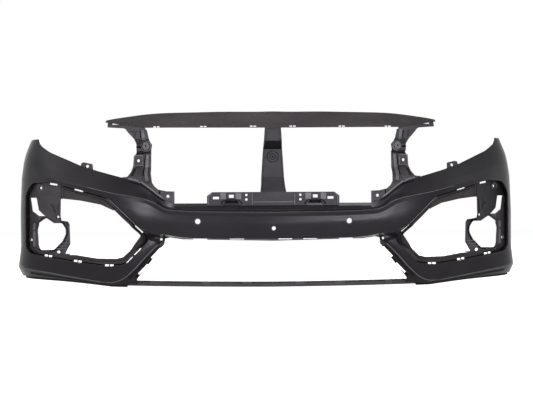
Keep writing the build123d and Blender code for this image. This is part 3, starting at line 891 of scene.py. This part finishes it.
@dataclass
class Mouldings:
    """The finishes of the CAD nodes and of the added pieces."""

    slots: dict[Slot, AnyFinish] = field(default_factory=lambda: {
        Slot.SKIN: SATIN_SKIN, Slot.GRAINED: GRAINED_PLASTIC,
        Slot.RAW: BARE_PLASTIC, Slot.STUD: STUD_PLASTIC})
    # the centre stay's band, the left fog plate and the lower strips carry painted shade
    own: dict[str, AnyFinish] = field(default_factory=lambda: {
        CENTRE: STAY_PLASTIC_SHADE_BAND, "left_fog_plate": PAINTED_SHADED_PLATE,
        "left_lower_strip": PAINTED_SHADE_MATT, "right_lower_strip": PAINTED_SHADE_MATT})
    looks: dict[Look, tuple[AnyFinish, Slot]] = field(default_factory=lambda: {
        Look.SKIN: (SATIN_SKIN, Slot.SKIN),
        Look.GRAINED: (GRAINED_PLASTIC, Slot.GRAINED),
        Look.RAW: (BARE_PLASTIC, Slot.RAW),
        Look.RUBBED: (EDGE_HIGHLIGHT_PRIMER, Slot.SKIN),
        Look.WORN: (PAINTED_HIGHLIGHT_PLASTIC, Slot.RAW),
        Look.SHADE: (PAINTED_SHADE_MATT, Slot.GRAINED),
        Look.GROOVE: (GROOVE, Slot.GRAINED),
    })
    made: dict[AnyFinish, bpy.types.Material] = field(default_factory=dict)

    def material(self, finish: AnyFinish) -> bpy.types.Material:
        """A finish's material, which is made once."""
        if finish not in self.made:
            self.made[finish] = finish.build()
        return self.made[finish]

    def dress(self) -> Looks:
        """Gives every node its own finish, or else that of its slot.

        Returns:
            The material and the slot of each look.
        """
        for entry in frame["record"]["subparts"]:
            word = entry["node"]
            material = self.material(self.own.get(word, self.slots[Slot(entry["material_slot"])]))
            node = frame["nodes"][word]
            node.data.materials.clear()
            node.data.materials.append(material)
            LOG.info("dressed %s in %s", word, material.name)
        return {look: (self.material(finish), slot) for look, (finish, slot) in self.looks.items()}


# ------------------------------ added mouldings


def bar(half: float, rise: float, foot: float = FOOT) -> Section:
    """A four-cornered section, from its foot in the surface to how far it stands out."""
    return ((-half, foot), (-half, rise), (half, rise), (half, foot))


def cut_bar(half: float, rise: float, across: float = 0.7, down: float = 0.5) -> Section:
    """A section whose upper corners are cut.

    Args:
        half: half its width.
        rise: how far it stands out.
        across: what is cut off its top at each side, at most half of it.
        down: what is cut off its sides, at most half of the rise.

    Returns:
        The corners, each (across the line, out of the surface).
    """
    top, shoulder = max(rise - down, rise * 0.5), max(half - across, half * 0.5)
    return ((-half, FOOT), (-half, top), (-shoulder, rise), (shoulder, rise), (half, top), (half, FOOT))


def ring(x: float, z: float, radius: float, count: int = 28) -> list[Flat]:
    """A circle as a front-view line.

    Args:
        x: its centre across.
        z: its centre's height.
        radius: its radius.
        count: its points.

    Returns:
        The points.
    """
    turns = [2 * math.pi * i / count for i in range(count)]
    return [(x + radius * math.cos(a), z + radius * math.sin(a)) for a in turns]


@dataclass(frozen=True)
class Strip:
    """A moulded rib, step, collar or groove of one section, along a front-view line on a CAD node.

    The line is given for the car's left: distance from the centre plane, height. Without a step, its points
    are close enough. A broken strip is left out wherever an opening comes nearer to its line than half its
    width.
    """

    word: str
    node: str
    line: Sequence[Flat]
    section: Section
    look: Look
    cut: float = 0.0
    closed: bool = False
    spread: float = 0.0
    step: float = STEP
    edge: float = 0.0
    broken: bool = False

    def runs(self, side: Side, line: Sequence[Flat]) -> list[list[Spot]]:
        """The line's points on the node, in one run, or in one between each two openings.

        Args:
            side: the side of the car.
            line: the line's points.

        Returns:
            The runs.
        """
        node = self.node.format(side=side.word)
        if not self.broken:
            return [Bench.trace(node, side, line, self.spread)]
        runs: list[list[Spot]] = [[]]
        half = self.section[-1][0]
        for x, z in line:
            spots = Bench.trace(node, side, [(x, z)], self.spread)
            beside = [(x + a * half, z + b * half) for a, b in ((1, 0), (-1, 0), (0, 1), (0, -1))]
            if spots and len(Bench.trace(node, side, beside)) == len(beside):
                runs[-1].extend(spots)
            elif runs[-1]:
                runs.append([])
        return runs

    def build(self, side: Side, looks: Looks) -> None:
        """Adds the strip.

        Args:
            side: the side of the car.
            looks: the material of each look.
        """
        line = Bench.rounded(self.line, self.cut, self.closed) if self.cut else self.line
        line = Bench.spaced(line, self.step, self.closed) if self.step else line
        closed = self.closed and not self.broken
        for number, spots in enumerate(self.runs(side, line)):
            if len(spots) > 1:
                suffix = f"_{number}" if self.broken else ""
                name = f"{side.word}_{self.word}{suffix}"
                Bench.place(Bench.bead(name, spots, self.section, closed, self.edge), *looks[self.look])


@dataclass
class Details:
    """The pieces of one side of the car. Their sizes are given for the car's left."""

    side: Side
    strips: Sequence[Strip] = ()

    def name(self, word: str) -> str:
        """A piece's name, with the side in front."""
        return f"{self.side.word}_{word}"

    def trace(self, node: str, line: Sequence[Flat]) -> list[Spot]:
        """The points and normals of a line on a CAD node of this side."""
        return Bench.trace(node.format(side=self.side.word), self.side, line)

    def solids(self) -> Dressed:
        """The pieces that aren't strips, each with its look."""
        yield from ()

    def build(self, looks: Looks) -> None:
        """Adds the pieces.

        Args:
            looks: the material of each look.
        """
        for piece, look in self.solids():
            Bench.place(piece, *looks[look])
        for strip in self.strips:
            strip.build(self.side, looks)


@dataclass
class SideStayDetails(Details):
    """The disc, the pad, the folds and the ridges moulded on a side stay: painted highlight on the disc,
    pad and ridges, painted shadow lines along the folds and notches, and painted shade in the channel.
    """

    turn: float = math.radians(22.0)
    origin: Flat = (440.0, -234.0)
    disc_place: Flat = (425.0, 477.5)
    disc_radius: float = 18.0
    disc_out: float = -44.0
    disc_corners: int = 40
    disc_edge: float = 0.4
    disc_steps: Sequence[Flat] = ((0.0, 29.0), (3.0, 0.0), (0.4, -1.6), (6.0, 0.0), (0.4, 1.4), (5.0, 0.0))
    ring_radii: Sequence[float] = (15.0, 2.0)
    ring_out: float = -15.6
    ring_corners: int = 32
    ring_rise: float = 1.4
    ring_wall: float = 2.4
    ring_edge: float = 0.2
    pad_place: Flat = (453.0, 430.0)
    pad_half: Flat = (15.0, 17.5)
    pad_out: float = -70.0
    pad_rise: float = 3.5
    pad_wall: float = 2.5
    eyelet_radius: float = 6.5
    eyelet_corners: int = 28
    eyelet_out: float = -70.5
    eyelet_rise: float = 2.5
    eyelet_wall: float = 2.0
    strips: Sequence[Strip] = (
        Strip("stay_inner_web", STAY, ((435.5, 531), (434.5, 515), (432, 500)), cut_bar(6.0, 2.0),
              Look.WORN),
        Strip("stay_upper_groove", STAY, ((444.5, 534), (443.6, 516), (442, 497)), cut_bar(1.7, 0.5),
              Look.GROOVE),
        Strip("stay_upper_rib", STAY, ((460, 531), (463, 503)), cut_bar(1.1, 4.0), Look.RAW),
        Strip("stay_outer_lip", STAY, ((491, 529), (479, 516), (467, 501), (461, 490), (459.5, 480)),
              cut_bar(1.2, 5.0), Look.RAW, cut=8.0),
        Strip("stay_notch", STAY, ((459, 475.5), (443, 475.5)), cut_bar(3.2, 1.5), Look.GROOVE, step=5.0),
        Strip("stay_fold", STAY, ((459, 454.5), (434, 454.5)), cut_bar(2.7, 1.5), Look.GROOVE, step=5.0),
        Strip("stay_fold_end", STAY, ((434, 455), (411, 455.5)), cut_bar(1.4, 1.0), Look.GROOVE, step=5.0),
        Strip("stay_pad_shadow", STAY, ((464, 409.5), (438, 409.5)), cut_bar(2.3, 0.8), Look.GROOVE,
              step=5.0),
        Strip("stay_lower_web", STAY, ((420, 449), (423.5, 410), (426, 384), (421, 360)), cut_bar(5.5, 5.0),
              Look.WORN, cut=20.0),
        Strip("stay_lower_groove", STAY, ((429.5, 452), (433.5, 415), (436, 384), (438, 366)),
              cut_bar(1.6, 0.5), Look.GROOVE, cut=20.0),
        Strip("stay_channel", STAY, ((466, 403), (469, 392), (476, 377)), cut_bar(4.5, 0.5), Look.SHADE,
              cut=8.0),
        Strip("stay_tab_line", STAY, ((379.5, 329), (379.5, 307)), cut_bar(2.2, 0.5), Look.GROOVE,
              step=5.0),
        Strip("stay_tab_foot", STAY, ((376, 290), (338, 288)), cut_bar(1.8, 0.5), Look.GROOVE, step=6.0),
        Strip("stay_ridge", STAY,
              ((484, 366.5), (460, 360.5), (437, 352.5), (411, 333.5), (385, 313), (367, 301.5)),
              cut_bar(2.7, 5.5), Look.WORN, cut=10.0, step=7.0),
        Strip("stay_ridge_line", FACE, ((480, 357.5), (437, 345), (412, 325.8), (384, 304), (362, 291.5)),
              cut_bar(2.0, 0.5), Look.GROOVE, cut=10.0, step=7.0),
    )

    def spot(self, x: float, out: float, z: float) -> Point:
        """A point on the stay.

        Args:
            x: distance from the centre plane.
            out: distance outwards from the stay's reference plane.
            z: height.

        Returns:
            The point in the model's frame.
        """
        y = self.origin[1] + (x - self.origin[0]) * math.tan(self.turn) - out / math.cos(self.turn)
        return (self.side.value * x, y, z)

    def forwards(self, distance: float) -> Point:
        """A move square to the stay's face."""
        return (self.side.value * math.sin(self.turn) * distance, -math.cos(self.turn) * distance, 0.0)

    def circle(self, place: Flat, radius: float, out: float, count: int) -> list[Point]:
        """A circle on the stay's face.

        Args:
            place: its centre.
            radius: its radius.
            out: its distance outwards.
            count: its points.

        Returns:
            The points.
        """
        return [self.spot(place[0] + x * math.cos(self.turn), out, place[1] + z)
                for x, z in ring(0.0, 0.0, radius, count)]

    def disc(self) -> Piece:
        """The round boss: a rim, a sunk floor and a raised middle."""
        points = self.circle(self.disc_place, self.disc_radius, self.disc_out, self.disc_corners)
        piece = Bench.outline(self.name("stay_disc"), points, filled=True)
        with Bench.editing():
            for inset, rise in self.disc_steps:
                if inset:
                    bpy.ops.mesh.inset(thickness=inset * MM)
                if rise:
                    move = (0.0, -rise * MM / math.cos(self.turn), 0.0)
                    bpy.ops.mesh.extrude_region_move(TRANSFORM_OT_translate={"value": move})
        Bench.soften(piece, self.disc_edge)
        return piece

    def solids(self) -> Dressed:
        """The boss in painted highlight with its rings of painted shadow, the frame around the stay's hole
        in painted highlight, and the collar.
        """
        yield self.disc(), Look.WORN
        for number, radius in enumerate(self.ring_radii, 1):
            points = self.circle(self.disc_place, radius, self.ring_out, self.ring_corners)
            yield Bench.collar(self.name(f"disc_ring_{number}"), points, self.forwards(self.ring_rise),
                               self.ring_wall, self.ring_edge), Look.GROOVE
        (x, z), (half_x, half_z) = self.pad_place, self.pad_half
        corners = [self.spot(x + a * half_x * math.cos(self.turn), self.pad_out, z + b * half_z)
                   for a, b in ((-1, -1), (-1, 1), (1, 1), (1, -1))]
        yield Bench.collar(self.name("stay_pad"), corners, self.forwards(self.pad_rise),
                           self.pad_wall), Look.WORN
        points = self.circle(self.pad_place, self.eyelet_radius, self.eyelet_out, self.eyelet_corners)
        yield Bench.collar(self.name("stay_eyelet"), points, self.forwards(self.eyelet_rise),
                           self.eyelet_wall), Look.RAW


@dataclass
class SkinEdges(Details):
    """The rolled edges, crease beads and flanges of the painted skin, with painted highlight and shadow
    lines along its edges and patches of painted shade.
    """

    wing_top: Sequence[Flat] = (
        (820, 510), (812, 491), (775, 466), (735, 449), (656, 415), (586, 393), (502, 370), (480, 362),
        (440, 350.5))
    hem_cut: float = 10.0
    hem_inset: float = 1.2
    hem_step: float = 12.0
    hem_lift: float = 0.5
    hem_top: Flat = (1.0, 1.1)
    hem_rear: Flat = (13.0, -1.5)
    hem_wall: float = 1.6
    strips: Sequence[Strip] = (
        Strip("ridge_edge", FACE,
              ((388, 145), (405, 128), (427, 106), (462, 67), (495, 36), (519, 21.5), (545, 14.5),
               (580, 15.2), (624, 21), (698, 31), (773, 42), (849, 51), (885, 54.5)),
              ((-1.9, -1.2), (-1.3, 0.5), (0.0, 0.9), (1.3, 0.5), (1.9, -1.2)), Look.RUBBED,
              cut=14.0, spread=6.0),
        Strip("aperture_rim", FACE, Bench.inset(APERTURE, -1.8),
              ((-1.4, -2.4), (-1.4, 0.5), (0.0, 0.8), (1.3, 0.4), (1.8, -0.6)), Look.SKIN,
              cut=APERTURE_CUT, closed=True),
        Strip("crease_edge", FACE,
              ((0, 253.4), (200, 255.4), (300, 258.4), (340, 261.4), (360, 265.4), (378, 274.4),
               (400, 288.4), (430, 299.4), (478, 308.4), (545, 320.4), (627, 340.4)),
              cut_bar(1.1, 0.4), Look.RUBBED, cut=10.0, spread=3.0),
        Strip("lip_shade", FACE, ((552, 11), (624, 16.5), (700, 24), (773, 32), (849, 39.5)),
              cut_bar(4.2, 0.3), Look.SHADE, step=15.0),
        Strip("facet_shade", FACE, ((382, 139), (399, 122), (421, 100), (456, 61), (487, 31)),
              cut_bar(5.5, 0.3), Look.SHADE),
        Strip("facet_channel", FACE, ((372, 138), (393, 116), (438, 61), (464, 34)),
              cut_bar(3.2, 0.3), Look.GROOVE, step=3.0, broken=True),
        Strip("diagonal_edge", FACE, ((550.6, 300.4), (459.5, 214.6)), cut_bar(1.2, 1.6), Look.WORN,
              step=6.0),
        Strip("diagonal_groove", FACE, ((548.7, 302.4), (457.6, 216.6)), cut_bar(1.0, 0.4), Look.GROOVE,
              step=6.0),
        Strip("knee_shade", FACE, ((417, 167), (400, 162), (385, 157)), cut_bar(6.5, 0.3), Look.SHADE,
              step=6.0),
    )
    arch_centre: Flat = (570.0, 153.0)
    arch_radius: float = 365.0
    arch_from_deg: float = 199.0
    arch_to_deg: float = 131.0
    arch_runs: int = 34
    arch_look_from: float = 1200.0
    arch_look_out: float = 2.0
    arch_edge: Flat = (0.6, 1.2)
    arch_flange: float = 16.0
    arch_lean: float = 1.5
    arch_wall: float = 2.0

    def headlamp_hem(self) -> Piece:
        """The flange that the wing's upper edge turns back into, under the headlamp."""
        line = Bench.inset(Bench.rounded(self.wing_top, self.hem_cut), self.hem_inset, closed=False)
        spots = self.trace(FACE, Bench.spaced(line, self.hem_step))
        front = [point + normal * self.hem_lift for point, normal in spots]
        top = [point + Vector((0.0, *self.hem_top)) for point, _ in spots]
        rear = [point + Vector((0.0, *self.hem_rear)) for point, _ in spots]
        return Bench.ribbon(self.name("headlamp_hem"), (front, top, rear), self.hem_wall)

    def arch_flange_sheet(self) -> Piece:
        """The flange around the wheel arch, which the arch liner screws to."""
        inwards = Vector((-self.side.value, 0.0, 0.0))
        middle = Vector((0.0, *self.arch_centre))
        sweep = self.arch_to_deg - self.arch_from_deg
        outer, inner = [], []
        for i in range(self.arch_runs + 1):
            angle = math.radians(self.arch_from_deg + sweep * i / self.arch_runs)
            way = Vector((0.0, math.cos(angle), math.sin(angle)))
            near = middle + way * (self.arch_radius + self.arch_look_out)
            start = Vector((self.side.value * self.arch_look_from, near.y, near.z))
            found, place, _, _ = frame["nodes"][FACE].ray_cast(start * MM, inwards)
            if not found:
                continue
            edge = middle + way * (self.arch_radius - self.arch_edge[0])
            edge.x = place.x / MM - self.side.value * self.arch_edge[1]
            outer.append(edge)
            inner.append(edge + inwards * self.arch_flange + way * self.arch_lean)
        return Bench.ribbon(self.name("arch_flange"), (outer, inner), self.arch_wall)

    def solids(self) -> Dressed:
        """The two flanges."""
        yield self.headlamp_hem(), Look.SKIN
        yield self.arch_flange_sheet(), Look.SKIN


@dataclass
class FogBayDetails(Details):
    """The ribs, collars, pads and clip tabs moulded in a fog lamp aperture, with painted highlight on the
    pads, steps and bosses and painted shadow lines around the lamp and along the liner.
    """

    web_plate: Sequence[Flat] = ((738, 354), (738, 303))
    web_liner: Sequence[Flat] = ((722, 349), (722, 300))
    web_step: float = 7.0
    web_corner: Sequence[Sequence[Flat]] = (
        ((739, 287), (739, 296), (738, 305), (728, 306), (718, 306)),
        ((736, 287), (734.6, 294), (731.5, 298.8), (726, 301.4), (718, 302)))
    web_corner_ends: Sequence[Flat] = ((742.0, 300.0), (716.0, 303.0))
    web_wall: float = 1.6
    strips: Sequence[Strip] = (
        Strip("liner_rib", LINER,
              ((728, 337), (560, 293), (441, 181), (441, 158), (508, 91), (574, 86), (700, 99)),
              bar(1.3, 7.0), Look.GRAINED, cut=16.0, edge=0.4),
        Strip("liner_tongue", LINER, ((551, 300), (440, 189)), bar(2.0, 15.0), Look.GRAINED, edge=0.5),
        *(Strip(word, node, ring(*place), cut_bar(1.2, rise, 0.5), look, closed=True, step=0.0)
          for word, node, place, rise, look in (
              ("plate_boss", PLATE, (813.0, 341.0, 10.5), 2.5, Look.WORN),
              ("plate_eye_1", PLATE, (740.0, 239.0, 6.5), 2.5, Look.RAW),
              ("plate_eye_2", PLATE, (809.0, 341.0, 6.0), 2.5, Look.RAW),
              ("ring_eye_1", RING, (750.0, 112.0, 7.5), 4.0, Look.WORN),
              ("ring_eye_2", RING, (849.0, 155.0, 6.5), 4.0, Look.WORN))),
        Strip("lamp_rim", RING, Bench.inset(LAMP_HOLE, -2.4), bar(1.4, 6.0, foot=-4.0), Look.RAW,
              cut=9.0, closed=True, step=8.0, edge=0.4),
        Strip("rim_shadow", RING, Bench.inset(LAMP_HOLE, -5.4), bar(1.9, 0.6), Look.GROOVE,
              cut=9.0, closed=True, step=8.0),
        Strip("liner_channel", LINER, Bench.rounded(Bench.inset(APERTURE, 3.4), APERTURE_CUT, closed=True),
              cut_bar(2.2, 0.4), Look.GROOVE, closed=True, step=3.0, broken=True),
        *(Strip(f"ring_pad_{number}", RING, ((836, low), (836, high)), cut_bar(7.0, 5.5, 2.0, 1.5),
                Look.WORN, step=8.0, edge=0.6)
          for number, (low, high) in enumerate(((192, 215), (132, 187)), 1)),
        *(Strip(f"ring_step_{number}", RING, ((near, z), (far, z)), bar(1.5, 4.5), Look.WORN,
                step=8.0, edge=0.4)
          for number, (near, far, z) in enumerate(((716, 742, 144), (719, 750, 134), (724, 758, 125)), 1)),
        *(Strip(f"plate_fold_{number}", PLATE, (*line, (748, 232)),
                ((-1.6, FOOT), (-0.8, 5.0), (0.8, 5.0), (1.6, FOOT)), Look.RAW, cut=8.0, step=6.0, edge=0.3)
          for number, line in enumerate((((768, 283), (754, 262)), ((740, 290), (744, 262))), 1)),
        *(Strip(f"slot_bump_{number}", LINER, ((x - 2.6, z), (x + 2.6, z)), bar(3.5, 3.0), Look.GRAINED,
                edge=0.5)
          for number, (x, z) in enumerate(((784, 98), (672, 82), (557.5, 70)), 1)),
    )

    def plate_web(self) -> Piece:
        """The smooth web from the plate's edge to the liner, above the opening."""
        plate = self.trace(PLATE, Bench.spaced(self.web_plate, self.web_step))
        liner = self.trace(LINER, Bench.spaced(self.web_liner, self.web_step))
        count = min(len(plate), len(liner))
        rails = [[point for point, _ in spots[:count]] for spots in (plate, liner)]
        return Bench.ribbon(self.name("plate_web"), rails, self.web_wall)

    def corner_web(self) -> Piece:
        """The web that rounds the opening's corner between the plate and the liner."""
        near, far = self.web_corner_ends
        first, last = self.trace(PLATE, [near])[0][0].y, self.trace(LINER, [far])[0][0].y
        rails = []
        for line in self.web_corner:
            depths = [first + (last - first) * i / (len(line) - 1) for i in range(len(line))]
            rails.append([Vector((self.side.value * x, y, z)) for (x, z), y in zip(line, depths)])
        return Bench.ribbon(self.name("corner_web"), rails, self.web_wall)

    def solids(self) -> Dressed:
        """The two webs between the plate and the liner."""
        yield self.plate_web(), Look.RAW
        yield self.corner_web(), Look.RAW


@dataclass
class CentreStayDetails(Details):
    """The ribs, the badge rings and the base plate's pads, posts and arches: painted highlight on the pads,
    posts, end rib and fold, painted shadow lines in the badge rings, the lap and the arch lips, and painted
    shade in the recess and the arch pockets.
    """

    badge_rings: Sequence[float] = (18.4, 9.5, 1.6)
    badge_height: float = 440.0
    badge_section: Section = cut_bar(0.9, 0.5)
    strips: Sequence[Strip] = (
        Strip("centre_edge_rib", CENTRE,
              ((24.5, 530), (27.3, 494), (31, 464), (32.8, 427), (37.6, 344), (40, 324)),
              cut_bar(1.2, 5.0), Look.RAW),
        Strip("base_end_rib", CENTRE, ((215, 280), (215, 306), (203.5, 316.5)), cut_bar(1.2, 3.5),
              Look.WORN, cut=5.0),
        Strip("base_outer_pad", CENTRE, ((167, 297), (167, 318)), cut_bar(9.5, 2.5), Look.WORN),
        Strip("base_inner_pad", CENTRE, ((116, 297), (116, 318)), cut_bar(9.5, 2.5), Look.WORN),
        Strip("base_post", CENTRE, ((70.7, 279), (70.7, 317)), cut_bar(1.2, 3.0), Look.WORN),
        Strip("base_fold", CENTRE, ((0, 287.5), (67, 287.5)), cut_bar(1.1, 0.8), Look.WORN),
        Strip("recess_floor", FACE, ((0, 268.5), (330, 268.5)), cut_bar(5.5, 0.3), Look.SHADE, step=15.0),
        Strip("recess_slope", FACE, ((0, 258.4), (200, 259.4), (300, 261.4)), cut_bar(4.6, 0.3), Look.SHADE,
              step=15.0),
        Strip("base_lap", FACE, ((0, 274.4), (219, 275)), cut_bar(1.2, 0.3), Look.GROOVE, step=20.0),
        Strip("arch_lip", CENTRE,
              ((173, 280), (172.5, 287), (160, 295.5), (119, 295.5), (106, 287), (105.5, 280)),
              cut_bar(1.1, 5.0), Look.GROOVE, cut=6.0, step=5.0),
    )
    pocket_rails: Sequence[Flat] = ((298.0, 2.5), (293.0, 16.0), (274.0, 24.0))
    pocket_span: Flat = (102.0, 176.0)
    pocket_runs: int = 8
    pocket_wall: float = 2.0

    def solids(self) -> Dressed:
        """The closed pocket behind an arch of the base plate, in painted shade, and on one side the badge's
        rings as painted shadow lines.
        """
        if self.side is Side.LEFT:
            for number, radius in enumerate(self.badge_rings, 1):
                line = Bench.spaced(ring(0.0, self.badge_height, radius), STEP, closed=True)
                piece = Bench.bead(self.name(f"badge_ring_{number}"), self.trace(CENTRE, line),
                                   self.badge_section, closed=True)
                yield piece, Look.GROOVE
        low, high = self.pocket_span
        places = [low + (high - low) * i / self.pocket_runs for i in range(self.pocket_runs + 1)]
        top = [point for point, _ in self.trace(CENTRE, [(x, self.pocket_rails[0][0]) for x in places])]
        rails = [[Vector((point.x, point.y + back, z)) for point in top] for z, back in self.pocket_rails]
        yield Bench.ribbon(self.name("arch_pocket"), rails, self.pocket_wall), Look.SHADE


@dataclass
class BarDetails(Details):
    """The clip seats on the lower crossbar, the bead on the upper beam and a painted shadow line along the
    crossbar.
    """

    seats: dict[Side, Sequence[Flat]] = field(default_factory=lambda: {
        Side.RIGHT: ((378, 416), (210, 237), (71, 103)),
        Side.LEFT: ((77, 107), (210, 242), (384, 409)),
    })
    seat_level: float = 12.5
    seat_section: Section = cut_bar(6.5, 2.5)
    strips: Sequence[Strip] = (
        Strip("beam_bead", BEAM, ((0, 547.5), (300, 548.5), (424, 550.5), (455, 553), (517, 556.5)),
              cut_bar(0.9, 0.8), Look.GRAINED, step=20.0),
        Strip("bar_groove", BAR, ((0, 16.5), (455, 18.5)), cut_bar(0.9, 0.4), Look.GROOVE, step=20.0),
    )

    def solids(self) -> Dressed:
        """The clip seats."""
        for number, span in enumerate(self.seats[self.side], 1):
            line = Bench.spaced([(x, self.seat_level) for x in span], STEP)
            spots = self.trace(BAR, line)
            yield Bench.bead(self.name(f"bar_seat_{number}"), spots, self.seat_section), Look.RAW


@dataclass
class BeltRibs(Details):
    """The upright ribs that stiffen the face from behind."""

    places: Sequence[float] = (70.0, 150.0, 310.0, 360.0)
    heights: Sequence[float] = (174.0, 186.0, 198.0, 212.0, 226.0, 240.0)
    wall: float = 2.0
    depths: Flat = (2.6, 22.0)

    def solids(self) -> Dressed:
        """The ribs."""
        for number, x in enumerate(self.places, 1):
            front = [point for point, _ in self.trace(FACE, [(x, z) for z in self.heights])]
            rails = [[point + Vector((0.0, back, 0.0)) for point in front] for back in self.depths]
            yield Bench.ribbon(self.name(f"belt_rib_{number}"), rails, self.wall), Look.SKIN


def main() -> None:
    """Builds the scene, one sub-assembly after another."""
    Studio().build()
    looks = Mouldings().dress()
    for kind in (SideStayDetails, SkinEdges, FogBayDetails, CentreStayDetails, BarDetails, BeltRibs):
        for side in Side:
            kind(side).build(looks)


if __name__ == "__main__":
    main()
